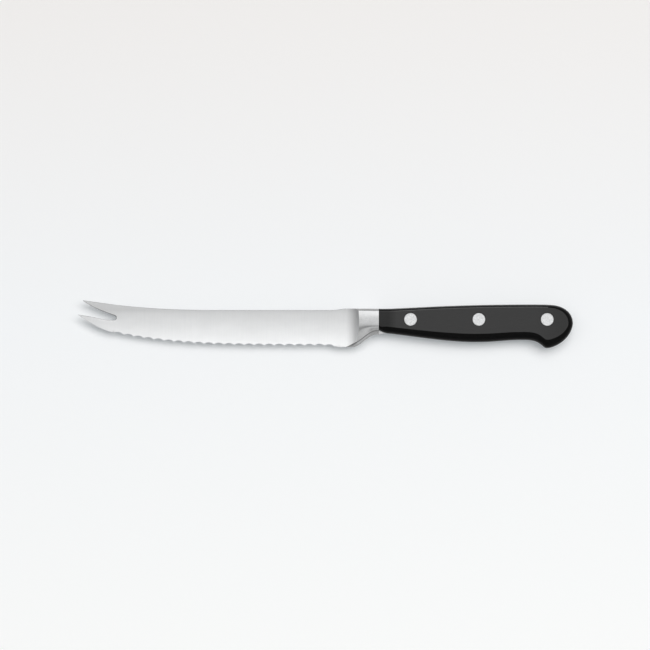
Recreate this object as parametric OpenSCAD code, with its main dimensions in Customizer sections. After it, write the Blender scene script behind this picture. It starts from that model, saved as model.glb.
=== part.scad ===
// Forked tomato knife: one forged steel blank, two handle scales and three two-part rivets.
// Millimetres. The knife lies flat on its right side, as it would on a table.
// X runs from the fork tips towards the butt, Y from the cutting edge towards the spine.
// Until place() moves it, X is 0 at the front of the handle, Y is 0 on the rivet line
// and Z is 0 in the middle of the blade's thickness.

/* [Blade] */
// Length from the front of the handle to the lower fork tip
blade_l = 150; // [130:1:165]
// Height of the straight part of the spine above the rivet line
spine_h = 4.62; // [4:0.02:5.2]
// Length of the curved part of the spine, from the lower tip
spine_curve_l = 70; // [55:1:90]
// Depth of the tooth line below the rivet line, near the heel
edge_depth = 13.1; // [11.5:0.05:13.2]
// Depth of the heel, the lowest point of the blade
heel_depth = 13.8; // [13.2:0.1:15]
// Smooth length of edge between the cove and the last tooth
heel_l = 5.7; // [4:0.1:8]
// Blade thickness at the spine, where the cove of the bolster starts
spine_t = 2; // [1.6:0.1:2.4]
// Blade thickness at the edge, before the teeth are ground
edge_t = 0.5; // [0.3:0.05:0.8]
// Thickness the blade loses from the cove to the fork tips
point_thinning = 0.8; // [0.4:0.1:0.9]

/* [Fork] */
// Height of the upper tip above the rivet line
upper_tip_h = 9.5; // [8:0.1:11]
// How far the upper tip stands behind the lower tip
upper_tip_back = 2.5; // [1:0.1:5]
// Height of the lower tip above the rivet line
lower_tip_h = 2.4; // [1.5:0.1:3]
// Depth of the notch, from the lower tip to the centre of its round end
notch_l = 18.1; // [14:0.1:22]
// Radius of the round end of the notch
notch_r = 1.1; // [0.8:0.1:1.3]
// Distance from the lower tip to the first tooth
tine_l = 17.9; // [15:0.1:22]
// Depth of the first tooth below the rivet line
tine_depth = 6.7; // [5:0.1:8]

/* [Teeth] */
// Number of scallops ground into the edge
scallops = 22; // [16:1:26]
// Depth of each scallop, seen from the left side
scallop_depth = 0.95; // [0.4:0.05:1.1]
// Angle between the ground scallops and the right face of the blade
grind_angle = 20; // [16:1:30]

/* [Bolster] */
// Length from the front of the handle to the crease
bolster_l = 9.9; // [8:0.1:12]
// Length of the hollow cove between the crease and the flat of the blade
cove_l = 6.4; // [5:0.1:8]
// Thickness where the bolster meets the handle
bolster_t = 11.4; // [10:0.1:12]
// Thickness at the crease
crease_t = 10.4; // [9:0.1:11]
// How much the sides bulge between top and bottom
crown = 0.5; // [0.2:0.1:0.9]
// Depth of the line where its flat sides turn into the slanted facets below
slant_h = 4; // [3.4:0.1:4.4]
// Width of the rounded rim between the facets and the underside
rim_w = 2.3; // [1.6:0.1:2.6]
// Thickness between the two facets at the rim, where the bolster meets the handle
rim_t = 8; // [7:0.1:8.6]
// Thickness between the two facets at the rim, at the crease
crease_rim_t = 5.6; // [4.8:0.1:6.4]
// Depth of the underside where it meets the handle
underside_h = 7.5; // [7:0.1:8]

/* [Handle] */
// Length of the handle
handle_l = 96.7; // [90:0.1:108]
// Thickness across the two flats
handle_t = 13; // [12:0.1:15]
// Thickness of the full tang between the scales
tang_t = 2.2; // [1.8:0.1:3]
// Height of the handle's front above the rivet line
front_h = 5.3; // [5:0.1:5.6]
// Height of the crest of its back above the rivet line
crest_h = 7.4; // [6.5:0.05:8.5]
// Depth of the front edge of the scales
scale_front_h = 5.3; // [4.9:0.1:5.8]
// Depth of its front corner
corner_depth = 6.95; // [6.3:0.05:7.4]
// Depth of the belly
belly_depth = 11.3; // [10.5:0.1:12.5]
// Distance from the front to the deepest point of the belly
belly_l = 48.4; // [42:0.1:55]
// Depth of the neck between the belly and the butt
neck_depth = 10.2; // [9.6:0.1:10.6]
// Depth of the hooked nose under the butt
nose_depth = 13.95; // [13.2:0.05:14.8]
// Width of the rounding at the front corner
corner_bevel = 2.1; // [1.6:0.1:2.6]
// Width of the rounding along the back
back_bevel = 1.1; // [0.8:0.1:1.6]
// Width of the rounding along the belly
belly_bevel = 3.7; // [3:0.1:4.2]
// Width of the rounding at the butt
butt_bevel = 2.5; // [1.8:0.1:3]
// Length over which the front of the flats falls to the bolster
front_fall_l = 8; // [6:0.5:9]

/* [Rivets] */
// Diameter of the rivet heads
head_d = 6.3; // [5.5:0.1:7]
// Thickness of the rivet heads
head_t = 1.8; // [1.4:0.1:2.4]
// Outer diameter of the hollow rivet half
tube_d = 4.4; // [3.8:0.1:4.8]
// Diameter of the solid rivet half that is driven into the hollow one
pin_d = 3; // [2.4:0.1:3.2]
// Distance from the front of the handle to the first rivet
first_rivet = 15.75; // [14.5:0.05:18]
// Distance from the last rivet to the butt
last_rivet = 13; // [11:0.1:14]
// Gap around the tube of a rivet in its bores
bore_gap = 0.05; // [0.02:0.01:0.15]

/* [Colours] */
// Colour of the steel
steel_colour = "#D3D5D7";
// Colour of the handle scales
scale_colour = "#262626";

/* [Hidden] */
// Sub-part to draw, or all of them
$fn = 128;

// Reach of the shapes that only cut
far = 200;

// Where the cove starts on the flat of the blade, and where blade and bolster are joined
cove_start = -bolster_l - cove_l;
joint_x = cove_start - 1;
// Level end of the heel under the cove, and the length of the rising underside behind it.
// The underside rises faster near the heel than near the handle.
heel_flat_l = 3.5;
underside_l = bolster_l + cove_l - heel_flat_l;
underside_curve = 1.2;
// The rim grows to its full width over this length, from the start of the cove
rim_run = 6.5;
// How softly the sides turn into the slanted facets
slant_softness = 0.12;

// The tooth line, how late it curves up to the fork, and the stock left under it for grinding
first_tooth = tine_l - blade_l;
last_tooth = cove_start - heel_l;
pitch = (last_tooth - first_tooth) / scallops;
tooth_curve = 3.8;
grinding_stock = 0.1;
// The heel drops below the tooth line over this length
heel_run = 9;
heel_drop_end = last_tooth + 3.5;

// Slopes of the blade's faces: across from spine to edge, and along from cove to tips
face_tilt = atan((spine_t - edge_t) / 2 / (spine_h + heel_depth));
face_slope = point_thinning / 2 / (blade_l + cove_start);

// Radius of the cove, so that it ends at the crease
cove_rise = (crease_t - spine_t) / 2;
cove_r = (cove_l * cove_l + cove_rise * cove_rise) / (2 * cove_rise);

// The bolster's top stands a little above the spine, after a soft step
straight_spine_x = spine_curve_l - blade_l;
bolster_top_h = front_h + 0.1;
step_run = 8;
step_end = cove_start + 1;

// Centre of the notch's round end, and the slope of its upper side there
notch_centre = [notch_l - blade_l, 0.75];
notch_slope = 22;

// Stations along the handle
crest_x = handle_l - 21.7;
back_x = handle_l - 10.8;
back_drop = 0.2;
corner_x = 4.3;
neck_x = handle_l - 24.4;
hook_x = handle_l - 14.4;
hook_depth = nose_depth - 0.2;
butt_h = -2;
// The front of the scales falls to the bolster at this slope, from a height that the
// crowned cut trims
fall_slope = (handle_t - bolster_t) / 2 / front_fall_l;
fall_margin = 0.25;
nose_bevel = belly_bevel + 0.4;

// The middle rivet is halfway between the other two
rear_rivet = handle_l - last_rivet;
rivet_x = [first_rivet, (first_rivet + rear_rivet) / 2, rear_rivet];

flat_z = handle_t / 2;
tang_z = tang_t / 2;
head_z = flat_z - head_t;

// Rings from the outline of a scale to its flat, and stations along the bolster
scale_rings = 9;
bolster_stations = 17;

// Curves

function toward(angle) = [cos(angle), sin(angle)];

// Smooth curve from p, leaving along angle a, to q, arriving along angle b.
// The pulls, shares of the distance, say how long it follows each direction.
// The last point is left out.
function curve(p, a, pull_a, q, b, pull_b, steps) =
  let (
    span = norm(q - p),
    near_p = p + pull_a * span * toward(a),
    near_q = q - pull_b * span * toward(b)
  )
  [for (i = [0:steps - 1])
    let (t = i / steps, s = 1 - t)
    s * s * s * p + 3 * s * s * t * near_p + 3 * s * t * t * near_q + t * t * t * q];

function arc(centre, r, from, to, steps) =
  [for (i = [0:steps]) centre + r * toward(from + (to - from) * i / steps)];

function mix(a, b, t) = a + (b - a) * t;

function limit(t) = min(1, max(0, t));

// Rises from 0 to 1 with a soft start and a soft end
function ease(t) = let (u = limit(t)) u * u * (3 - 2 * u);

// The smaller of two values, with a soft change from one to the other
function soft_min(a, b, softness) =
  min(a, b) - softness * ln(1 + exp(-abs(a - b) / softness));

function reversed(list) = [for (i = [len(list) - 1:-1:0]) list[i]];

// Faces of a skin over rings of n points each, without its two ends
function skin(rings, n) =
  [for (j = [0:rings - 2], i = [0:n - 1])
    let (k = (i + 1) % n, a = j * n)
    each [[a + i, a + k, a + n + k], [a + i, a + n + k, a + n + i]]];

// Outline of the blade and the bolster

function top_h(x) =
  mix(spine_h, bolster_top_h, ease((x - step_end) / step_run + 1))
  + (front_h - bolster_top_h) * ease(1 + x / bolster_l);

function tooth_line(x) =
  let (u = limit((last_tooth - x) / (last_tooth - first_tooth)))
  mix(-edge_depth, -tine_depth, pow(u, tooth_curve));

function edge_h(x) =
  tooth_line(x) - (heel_depth - edge_depth) * ease((x - heel_drop_end) / heel_run + 1);

function bottom_h(x) =
  x < -underside_l
    ? edge_h(x)
    : mix(-underside_h, -heel_depth, ease(pow(limit(-x / underside_l), underside_curve)));

upper_tip = [upper_tip_back - blade_l, upper_tip_h];
lower_tip = [-blade_l, lower_tip_h];

spine_points = concat(
  curve(upper_tip, -7, 0.18, [straight_spine_x, spine_h], 0, 0.59, 24),
  [[straight_spine_x, spine_h]],
  [for (i = [0:8]) let (x = mix(step_end - step_run, joint_x, i / 8)) [x, top_h(x)]]
);

edge_points = concat(
  [for (i = [0:8]) let (x = mix(joint_x, last_tooth, i / 8)) [x, edge_h(x)]],
  [for (i = [1:scallops - 1])
    let (x = mix(last_tooth, first_tooth, i / scallops))
    [x, edge_h(x) - grinding_stock]]
);

tine_points = concat(
  curve([first_tooth, -tine_depth], 164, 0.27, lower_tip, 144, 0.5, 12),
  curve(lower_tip, -8, 0.7, notch_centre - [0, notch_r], 2, 0.33, 12)
);

notch_points = concat(
  arc(notch_centre, notch_r, -90, 80 - notch_slope, 8),
  curve(notch_centre + notch_r * toward(90 - notch_slope), 180 - notch_slope, 0.06,
    upper_tip, 140, 0.34, 10)
);

module blade_outline() {
  polygon(concat(spine_points, edge_points, tine_points, notch_points));
}

// Height of the blade's left face above the middle of its thickness
function left_face_z(p) =
  spine_t / 2 - (spine_h - p.y) * tan(face_tilt) - (cove_start - p.x) * face_slope;

// Everything outside the left face of the blade and the cove of the bolster
module left_face_cut() {
  translate([0, spine_h, spine_t / 2])
    rotate([face_tilt + 90, 0, 0])
      linear_extrude(height = far, center = true)
        polygon(concat(
          [[cove_start - far, far / 4], [cove_start - far, -far * face_slope]],
          arc([cove_start, cove_r], cove_r, -90, 0, 18),
          [[cove_start + cove_r, far / 4]]
        ));
}

// One round grinding wheel, laid into the right face between two teeth
module scallop_cut(i) {
  tooth_a_x = first_tooth + i * pitch;
  tooth_b_x = tooth_a_x + pitch;
  tooth_a = [tooth_a_x, edge_h(tooth_a_x)];
  tooth_b = [tooth_b_x, edge_h(tooth_b_x)];
  lean = atan2(tooth_b.y - tooth_a.y, pitch);
  bottom = (tooth_a + tooth_b) / 2 + scallop_depth * toward(lean + 90);
  half_w = norm(tooth_b - tooth_a) / 2;
  sag = scallop_depth * sin(grind_angle);
  wheel_r = (half_w * half_w + sag * sag) / (2 * sag);
  translate([bottom.x, bottom.y, left_face_z(bottom)])
    rotate([0, 0, lean])
      rotate([90 - grind_angle, 0, 0])
        translate([0, -wheel_r, 0])
          cylinder(r = wheel_r, h = 10, center = true);
}

// Half thickness of the bolster's rim at x, where the slanted facet starts
function rim_z(x) =
  let (
    run = limit((x - cove_start) / cove_r) * cove_r,
    cove_z = edge_t / 2 + cove_r - sqrt(cove_r * cove_r - run * run)
  )
  max(tang_z + 0.6, min(cove_z + 0.1, mix(rim_t, crease_rim_t, -x / bolster_l) / 2));

// Half thickness of the bolster's crowned side at x and height y
function side_z(x, y) =
  let (
    low = bottom_h(x),
    high = top_h(x),
    off_middle = (y - (low + high) / 2) / ((high - low) / 2)
  )
  mix(bolster_t, crease_t, -x / bolster_l) / 2 - crown * off_middle * off_middle;

// Cross-section of the bolster at x, before the cove is cut: a closed ring of points
function bolster_ring(x) =
  let (
    low = bottom_h(x),
    high = top_h(x) - back_bevel,
    rim_low = low + rim_w * ease(0.2 + 0.8 * (x - joint_x) / rim_run),
    rim_top_z = rim_z(x),
    slope = (side_z(x, -slant_h) - rim_top_z) / (-slant_h - rim_low),
    rim = [for (a = [0:20:60])
      [x, mix(low, rim_low, 2 * (1 - cos(a))), mix(tang_z, rim_top_z, sin(a) / sin(60))]],
    heights = concat(
      [for (t = [0.33, 0.66, 0.88, 1]) mix(rim_low, -slant_h, t)],
      [for (t = [0.06, 0.2, 0.4, 0.6, 0.8, 1]) mix(-slant_h, high, t)]
    ),
    side = [for (y = heights)
      [x, y, soft_min(rim_top_z + (y - rim_low) * slope, side_z(x, y), slant_softness)]],
    upper = [for (a = [75:-15:0])
      [x, high + back_bevel * cos(a), mix(tang_z, side_z(x, high), sin(a))]],
    half = concat(rim, side, upper)
  )
  concat(half, [for (p = reversed(half)) [p.x, p.y, -p.z]]);

module bolster_body() {
  rings = [for (i = [0:bolster_stations]) bolster_ring(mix(joint_x, 0, i / bolster_stations))];
  n = len(rings[0]);
  last = bolster_stations * n;
  polyhedron(
    points = [for (ring = rings) each ring],
    faces = concat(
      [reversed([for (i = [0:n - 1]) i])],
      skin(bolster_stations + 1, n),
      [[for (i = [0:n - 1]) last + i]]
    )
  );
}

// Outline of the handle for inset 0, edge of its flat for inset 1, and the rings between

function butt_point(inset) = [handle_l - inset * butt_bevel, butt_h];

function back_side(inset) =
  let (
    front = [0, front_h - inset * back_bevel],
    crest = [crest_x, crest_h - inset * back_bevel],
    back = [back_x - inset, crest_h - back_drop - inset * back_bevel]
  )
  concat(
    curve(front, -2, 0.14, crest, 0, 0.6, 20),
    curve(crest, 0, 0.33, back, -3, 0.33, 4),
    curve(back, -3, 0.4, butt_point(inset), -90, 0.41, 16)
  );

function belly_side(inset, front, front_angle) =
  let (
    corner = [corner_x, -corner_depth + inset * (belly_bevel - 0.5)],
    belly = [belly_l, -belly_depth + inset * belly_bevel],
    neck = [neck_x, -neck_depth + inset * (belly_bevel - 0.2)],
    hook = [hook_x, -hook_depth + inset * nose_bevel],
    nose = [back_x, -nose_depth + inset * nose_bevel]
  )
  concat(
    curve(front, front_angle, 0.35, corner, -6, 0.35, 4),
    curve(corner, -6, 0.28, belly, 0, 0.33, 12),
    curve(belly, 0, 0.43, neck, 0, 0.43, 6),
    curve(neck, 0, 0.58, hook, -40, 0.31, 6),
    curve(hook, -40, 0.33, nose, 17, 0.41, 4),
    curve(nose, 17, 0.53, butt_point(inset), 90, 0.18, 8)
  );

function handle_ring(inset) =
  let (front = [0, -scale_front_h + inset * corner_bevel])
  concat(back_side(inset), [butt_point(inset)], reversed(belly_side(inset, front, -32)));

handle_outline = handle_ring(0);

// Under the front corner of the scales the tang goes straight on from the bolster
tang_outline =
  concat(back_side(0), [butt_point(0)], reversed(belly_side(0, [0, -underside_h], 12)));

// Pairs of triangles between the back and the belly, which have as many points each
function flat_faces(n) =
  [for (i = [0:(n - 3) / 2])
    each [[i, i + 1, n - 1 - i], [i + 1, n - 2 - i, n - 1 - i]]];

function shifted(faces, by) = [for (f = faces) [for (i = f) i + by]];

module scale_body() {
  n = len(handle_outline);
  rings = [for (j = [0:scale_rings]) let (a = j * 90 / scale_rings)
    [for (p = handle_ring(1 - cos(a)))
      let (top = j == scale_rings
        ? flat_z
        : min(flat_z, bolster_t / 2 + fall_margin + p.x * fall_slope))
      [p.x, p.y, mix(tang_z, top, sin(a))]]];
  polyhedron(
    points = [for (ring = rings) each ring],
    faces = concat(
      [for (f = flat_faces(n)) reversed(f)],
      skin(scale_rings + 1, n),
      shifted(flat_faces(n), scale_rings * n)
    )
  );
}

// The front of each flat falls to the bolster along a lying cylinder, crowned like its sides
module front_fall_cut() {
  crown_r = front_h * front_h / (2 * crown);
  fall_angle = atan(fall_slope);
  difference() {
    translate([-1, -far / 4, tang_z])
      cube([far / 4, far / 2, flat_z]);
    translate([0, 0, bolster_t / 2])
      rotate([0, 90 - fall_angle, 0])
        translate([crown_r, 0, 0])
          cylinder(r = crown_r, h = far, center = true);
  }
}

module rivet_bores(d) {
  for (x = rivet_x)
    translate([x, 0, 0])
      cylinder(d = d, h = 2 * handle_t, center = true);
}

module place() {
  lowest = min([for (p = handle_outline) p.y]);
  highest = max(upper_tip_h, crest_h);
  translate([(blade_l - handle_l) / 2, -(lowest + highest) / 2, flat_z])
    children();
}

// Sub-parts

module forged_blade() {
  place() color(steel_colour) difference() {
    union() {
      linear_extrude(height = spine_t + 1, center = true)
        blade_outline();
      bolster_body();
      linear_extrude(height = tang_t, center = true)
        polygon(tang_outline);
      translate([-bolster_l / 2, -underside_h + 1, -tang_z])
        cube([bolster_l, front_h + underside_h - 2, tang_t]);
    }
    left_face_cut();
    mirror([0, 0, 1]) left_face_cut();
    for (i = [0:scallops - 1])
      scallop_cut(i);
    rivet_bores(tube_d + 2 * bore_gap);
  }
}

module scale() {
  difference() {
    scale_body();
    front_fall_cut();
    rivet_bores(tube_d + 2 * bore_gap);
    for (x = rivet_x)
      translate([x, 0, head_z])
        cylinder(d = head_d, h = handle_t);
  }
}

module left_scale() {
  place() color(scale_colour) scale();
}

module right_scale() {
  place() color(scale_colour) mirror([0, 0, 1]) scale();
}

// Hollow half of a rivet: its head is flush with the left flat
module rivet_sleeve(i) {
  place() color(steel_colour) translate([rivet_x[i], 0, 0]) difference() {
    union() {
      translate([0, 0, head_z])
        cylinder(d = head_d, h = head_t);
      translate([0, 0, -head_z])
        cylinder(d = tube_d, h = 2 * head_z);
    }
    translate([0, 0, -head_z - 1])
      cylinder(d = pin_d, h = 2 * head_z + 1);
  }
}

// Solid half of a rivet: its head is flush with the right flat, its shank fills the sleeve
module rivet_pin(i) {
  place() color(steel_colour) translate([rivet_x[i], 0, 0]) union() {
    translate([0, 0, -flat_z])
      cylinder(d = head_d, h = head_t);
    translate([0, 0, -head_z])
      cylinder(d = pin_d, h = 2 * head_z);
  }
}

module front_rivet_sleeve() {
  rivet_sleeve(0);
}

module front_rivet_pin() {
  rivet_pin(0);
}

module middle_rivet_sleeve() {
  rivet_sleeve(1);
}

module middle_rivet_pin() {
  rivet_pin(1);
}

module rear_rivet_sleeve() {
  rivet_sleeve(2);
}

module rear_rivet_pin() {
  rivet_pin(2);
}

forged_blade();
left_scale();
right_scale();
front_rivet_sleeve();
front_rivet_pin();
middle_rivet_sleeve();
middle_rivet_pin();
rear_rivet_sleeve();
rear_rivet_pin();
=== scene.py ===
"""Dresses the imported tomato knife: finer meshes, materials, a floor, lights and a camera.

Lengths are millimetres in the frame of the part's source. X is 0 at the front of the
handle and grows towards the butt, Y is 0 on the rivet line and grows towards the spine,
and Z is 0 in the middle of the blade's thickness. to_row() turns them into the row's metres.
"""

from math import atan2, cos, exp, hypot, log1p, pi, radians, sin, sqrt

import bmesh
import bpy
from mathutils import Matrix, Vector
from mathutils.geometry import delaunay_2d_cdt


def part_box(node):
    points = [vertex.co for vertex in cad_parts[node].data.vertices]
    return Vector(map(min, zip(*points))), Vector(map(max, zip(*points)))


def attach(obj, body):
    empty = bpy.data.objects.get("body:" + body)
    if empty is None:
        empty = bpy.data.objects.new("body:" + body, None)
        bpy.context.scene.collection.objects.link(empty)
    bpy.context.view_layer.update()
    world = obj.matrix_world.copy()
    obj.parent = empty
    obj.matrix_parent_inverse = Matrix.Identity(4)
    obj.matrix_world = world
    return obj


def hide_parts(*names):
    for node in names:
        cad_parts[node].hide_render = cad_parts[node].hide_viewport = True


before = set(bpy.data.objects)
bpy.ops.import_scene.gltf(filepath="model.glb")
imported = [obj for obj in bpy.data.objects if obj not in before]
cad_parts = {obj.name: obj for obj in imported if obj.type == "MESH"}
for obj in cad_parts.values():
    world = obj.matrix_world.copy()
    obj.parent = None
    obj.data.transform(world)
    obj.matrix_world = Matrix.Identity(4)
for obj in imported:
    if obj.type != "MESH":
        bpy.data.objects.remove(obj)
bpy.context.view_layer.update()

MM = 0.001

# Blade
BLADE_L = 150.0
SPINE_H = 4.62
SPINE_CURVE_L = 70.0
EDGE_DEPTH = 13.1
HEEL_DEPTH = 13.8
HEEL_L = 5.7
SPINE_T = 2.0
EDGE_T = 0.5
POINT_THINNING = 0.8
# The sides are slightly hollow: at the spine they tilt this many times as much as on average
HOLLOW = 1.4
EDGE_ROUNDING = 0.16
NOTCH_ROUNDING = 0.55
# The rounding takes off no more than this share of half the thickness
ROUNDING_SHARE = 0.75

# Fork
UPPER_TIP = Vector((2.5 - BLADE_L, 9.5))
LOWER_TIP = Vector((-BLADE_L, 2.4))
NOTCH_CENTRE = Vector((18.1 - BLADE_L, 0.75))
NOTCH_R = 1.1
NOTCH_SLOPE = 22.0
TINE_L = 17.9
TINE_DEPTH = 6.7

# Teeth
SCALLOPS = 22
SCALLOP_DEPTH = 0.95
GRIND_ANGLE = radians(20)
TOOTH_CURVE = 3.8

# Bolster
BOLSTER_L = 9.9
COVE_L = 6.4
BOLSTER_T = 11.4
CREASE_T = 10.4
CROWN = 0.5
SLANT_H = 4.0
RIM_W = 2.3
RIM_T = 8.0
CREASE_RIM_T = 5.6
UNDERSIDE_H = 7.5
UNDERSIDE_CURVE = 1.2
# How softly its sides turn into the slanted facets
SLANT_SOFTNESS = 0.4

# Handle
HANDLE_L = 96.7
HANDLE_T = 13.0
TANG_T = 2.2
FRONT_H = 5.3
CREST_H = 7.4
SCALE_FRONT_H = 5.3
CORNER_DEPTH = 6.95
BELLY_DEPTH = 11.3
BELLY_L = 48.4
NECK_DEPTH = 10.2
NOSE_DEPTH = 13.95
CORNER_BEVEL = 2.1
BACK_BEVEL = 1.1
SCALE_BACK_BEVEL = 1.4
# The rounding along the belly is narrower where the belly starts and at the neck
BELLY_BEVEL = 4.15
BELLY_START_BEVEL = BELLY_BEVEL - 0.8
NECK_BEVEL = BELLY_BEVEL - 0.2
NOSE_BEVEL = 4.2
BUTT_BEVEL = 2.5
# Directions in which the lower edge of the scales and of the tang leaves the front
SCALE_UNDER_ANGLE = -32
TANG_UNDER_ANGLE = 12
FRONT_FALL_L = 8.0
# How softly the fall at the front of the flats runs into them
FALL_SOFTNESS = 0.1

# Rivets
HEAD_D = 6.3
HEAD_T = 1.8
TUBE_D = 4.4
PIN_D = 3.0
FIRST_RIVET = 15.75
LAST_RIVET = 13.0
HEAD_BEVEL = 0.09
HEAD_GAP = 0.05
HOLE_BEVEL = 0.06

# Where the parts of the steel blank begin and end
COVE_START = -BOLSTER_L - COVE_L
HEEL_FLAT_L = 3.5
UNDERSIDE_L = BOLSTER_L + COVE_L - HEEL_FLAT_L
# The rim under the bolster starts this far in front of the cove and grows over a run. In
# section it is an eighth of a circle, stretched to its width and height
RIM_LEAD = 1.0
RIM_RUN = 6.5
RIM_ARC = radians(45)
# Half thickness of the bottom edge at the crease
HEEL_WALL_Z = 0.6
FIRST_TOOTH = TINE_L - BLADE_L
LAST_TOOTH = COVE_START - HEEL_L
PITCH = (LAST_TOOTH - FIRST_TOOTH) / SCALLOPS
# The edge drops to the heel's depth over a run that ends behind the last tooth
HEEL_RUN = 9.0
HEEL_DROP_END = LAST_TOOTH + 3.5
# From here the spine is straight, and it steps up to the bolster over a run
STRAIGHT_SPINE_X = SPINE_CURVE_L - BLADE_L
BOLSTER_TOP_H = FRONT_H + 0.1
STEP_RUN = 8.0
STEP_END = COVE_START + 1

FACE_DROP = (SPINE_T - EDGE_T) / 2
FACE_H = SPINE_H + HEEL_DEPTH
FACE_SLOPE = POINT_THINNING / 2 / (BLADE_L + COVE_START)
COVE_RISE = (CREASE_T - SPINE_T) / 2
COVE_R = (COVE_L**2 + COVE_RISE**2) / (2 * COVE_RISE)

# Stations along the handle
CREST_X = HANDLE_L - 21.7
BACK_X = HANDLE_L - 10.8
BACK_DROP = 0.2
CORNER_X = 4.3
NECK_X = HANDLE_L - 24.4
HOOK_X = HANDLE_L - 14.4
HOOK_DEPTH = NOSE_DEPTH - 0.2
BUTT_H = -2.0

TANG_Z = TANG_T / 2
FLAT_Z = HANDLE_T / 2
HEAD_Z = FLAT_Z - HEAD_T
FALL_SLOPE = (FLAT_Z - BOLSTER_T / 2) / FRONT_FALL_L
REAR_RIVET = HANDLE_L - LAST_RIVET
RIVET_X = (FIRST_RIVET, (FIRST_RIVET + REAR_RIVET) / 2, REAR_RIVET)

# The source's origin in the row frame, found from the front rivet
rivet_low, rivet_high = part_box("front_rivet_sleeve")
ORIGIN = Vector((
    (rivet_low.x + rivet_high.x) / 2 - FIRST_RIVET * MM,
    (rivet_low.y + rivet_high.y) / 2,
    rivet_high.z - FLAT_Z * MM,
))


def to_row(point):
    return ORIGIN + Vector(point) * MM


# Curves


def toward(angle):
    return Vector((cos(radians(angle)), sin(radians(angle))))


def mix(a, b, t):
    return a + (b - a) * t


def limit(t):
    return min(1.0, max(0.0, t))


def ease(t):
    """Rises from 0 to 1 with a soft start and a soft end."""
    u = limit(t)
    return u * u * (3 - 2 * u)


def steps(a, b, count):
    """count + 1 values from a to b."""
    return [mix(a, b, i / count) for i in range(count + 1)]


def curve(p, a, pull_a, q, b, pull_b, count):
    """Smooth curve from p, leaving along angle a, to q, arriving along angle b, without q.
    A pull, as a share of the span, is how long the curve keeps to its angle."""
    span = (q - p).length
    near_p = p + pull_a * span * toward(a)
    near_q = q - pull_b * span * toward(b)
    points = []
    for i in range(count):
        t = i / count
        s = 1 - t
        points.append(s**3 * p + 3 * s * s * t * near_p + 3 * s * t * t * near_q + t**3 * q)
    return points


def soft_min(a, b, softness):
    return min(a, b) - softness * log1p(exp(-abs(a - b) / softness))


HALVINGS = 40


def root(function, low, high):
    """Where function crosses zero between low and high, found by halving."""
    low_sign = function(low) > 0
    for _ in range(HALVINGS):
        middle = (low + high) / 2
        if (function(middle) > 0) == low_sign:
            low = middle
        else:
            high = middle
    return (low + high) / 2


# Meshes


# Points closer than the gap are welded into one, and edges that stay shorter than the
# shortest are dissolved
WELD_GAP = 0.002
SHORTEST_EDGE = WELD_GAP / 4
# In the shading a weight above 50 lets large faces count for more than small ones
LARGE_FACE_WEIGHT = 80
# A fill is made of all the triangles round its points, and points closer than this are one
ALL_TRIANGLES = 0
SAME_POINT = 1e-6
CIRCLE_POINTS = 72


class Shell:
    """Points and faces of one piece. Faces of different kinds meet in a sharp edge."""

    def __init__(self):
        self.points = []
        self.faces = []
        self.kinds = []

    def add(self, points, faces, kind):
        start = len(self.points)
        self.points += [tuple(p) for p in points]
        self.faces += [[start + i for i in face] for face in faces]
        self.kinds += [kind] * len(faces)

    def add_rows(self, rows, kind):
        """Four-sided faces between rows that have as many points each."""
        n = len(rows[0])
        faces = [
            (j * n + i, j * n + i + 1, (j + 1) * n + i + 1, (j + 1) * n + i)
            for j in range(len(rows) - 1)
            for i in range(n - 1)
        ]
        self.add([p for row in rows for p in row], faces, kind)

    def build(self, name, materials, finishes):
        """Welds the faces into one closed mesh that rides on the root body. finishes gives
        the name of a material for the first word of each kind of faces."""
        kinds = sorted(set(self.kinds))
        slots = [list(materials).index(finishes[kind.split()[0]]) for kind in kinds]
        mesh = bmesh.new()
        mark = mesh.faces.layers.int.new("kind")
        corners = [mesh.verts.new(p) for p in self.points]
        for face, kind in zip(self.faces, self.kinds):
            made = mesh.faces.new([corners[i] for i in face])
            made[mark] = kinds.index(kind)
            made.smooth = True
        bmesh.ops.remove_doubles(mesh, verts=mesh.verts, dist=WELD_GAP)
        bmesh.ops.dissolve_degenerate(mesh, edges=mesh.edges, dist=SHORTEST_EDGE)
        loose = [vertex for vertex in mesh.verts if not vertex.link_faces]
        bmesh.ops.delete(mesh, geom=loose, context="VERTS")
        bmesh.ops.recalc_face_normals(mesh, faces=mesh.faces)
        for edge in mesh.edges:
            beside = {face[mark] for face in edge.link_faces}
            edge.smooth = len(beside) < 2
        for face in mesh.faces:
            face.material_index = slots[face[mark]]
        for vertex in mesh.verts:
            vertex.co = to_row(vertex.co)
        data = bpy.data.meshes.new(name)
        mesh.to_mesh(data)
        mesh.free()
        for material in materials.values():
            data.materials.append(material)
        piece = bpy.data.objects.new(name, data)
        bpy.context.scene.collection.objects.link(piece)
        shading = piece.modifiers.new("Even shading", "WEIGHTED_NORMAL")
        shading.keep_sharp = True
        shading.weight = LARGE_FACE_WEIGHT
        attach(piece, "root")
        return piece


def filled(outline, holes=(), inner=()):
    """Points and triangles that fill an outline, around holes and through inner points."""
    points = []
    edges = []
    for loop in (outline, *holes):
        start = len(points)
        points += [Vector(p[:2]) for p in loop]
        edges += [(start + i, start + (i + 1) % len(loop)) for i in range(len(loop))]
    points += [Vector(p) for p in inner]
    made, _, triangles, *_ = delaunay_2d_cdt(points, edges, [], ALL_TRIANGLES, SAME_POINT)

    def inside(p, loop):
        odd = False
        for a, b in zip(loop, loop[1:] + loop[:1]):
            if (a[1] > p.y) != (b[1] > p.y):
                if p.x < a[0] + (b[0] - a[0]) * (p.y - a[1]) / (b[1] - a[1]):
                    odd = not odd
        return odd

    kept = []
    for triangle in triangles:
        centre = sum((made[i] for i in triangle), Vector((0, 0))) / 3
        if inside(centre, outline) and not any(inside(centre, hole) for hole in holes):
            kept.append(triangle)
    return made, kept


# Blade and bolster


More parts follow.
